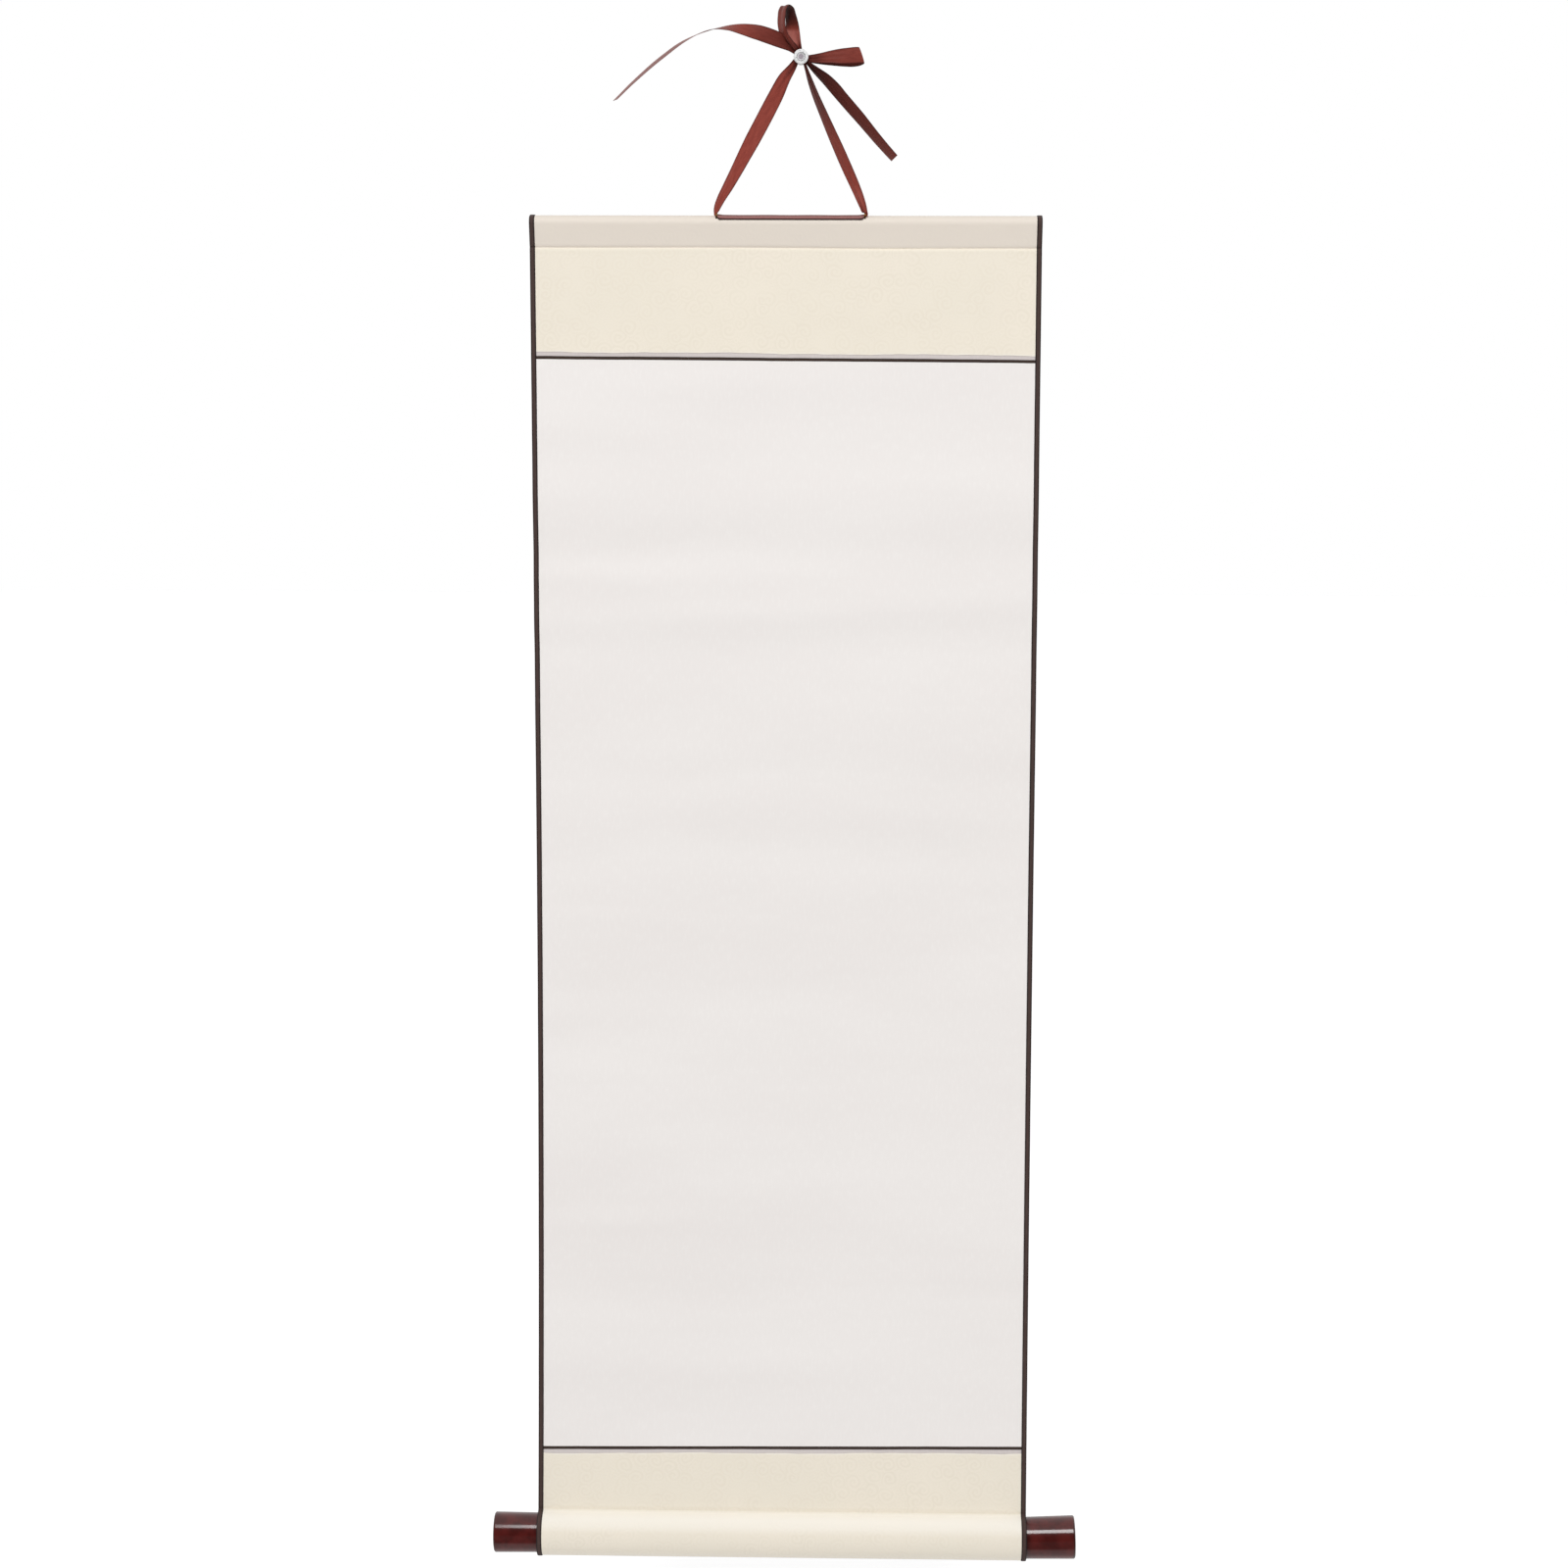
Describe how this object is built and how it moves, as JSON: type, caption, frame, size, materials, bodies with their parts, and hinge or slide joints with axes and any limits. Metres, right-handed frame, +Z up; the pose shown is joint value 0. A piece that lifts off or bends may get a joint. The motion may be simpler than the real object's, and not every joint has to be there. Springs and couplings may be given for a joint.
{
  "type": "hanging paper scroll",
  "caption": "Blank hanging scroll: white paper bordered with cream damask and brown tape, on a round wooden roller with lacquered knobs, hung by a satin ribbon tied in a bow round a push pin.",
  "frame": {"origin": "where the push pin's axis meets the wall, at the back of the pin's flange", "axes": "+Z up the wall, -Y out of the wall towards the viewer, +X to the viewer's right"},
  "size_m": [0.3944, 0.0681, 1.0265],
  "materials": {
    "lining_paper": "matte",
    "white_paper": "matte",
    "cream_damask": "woven, soft sheen",
    "brown_tape": "matte",
    "pale_wood": "bare",
    "red_lacquer": "gloss lacquer",
    "brass_wire": "drawn",
    "satin_ribbon": "satin",
    "white_plastic": "gloss",
    "needle_steel": "polished"
  },
  "bodies": {
    "root": {"backing_paper": "lining_paper", "painting_paper": "white_paper", "top_damask": "cream_damask", "bottom_damask": "cream_damask", "upper_brown_line": "brown_tape", "lower_brown_line": "brown_tape", "left_binding": "brown_tape", "right_binding": "brown_tape", "top_rod": "pale_wood", "bottom_roller": "pale_wood", "left_knob": "red_lacquer", "right_knob": "red_lacquer", "left_eye": "brass_wire", "right_eye": "brass_wire", "ribbon": "satin_ribbon", "push_pin_head": "white_plastic", "push_pin_needle": "needle_steel"}
  },
  "joints": []
}
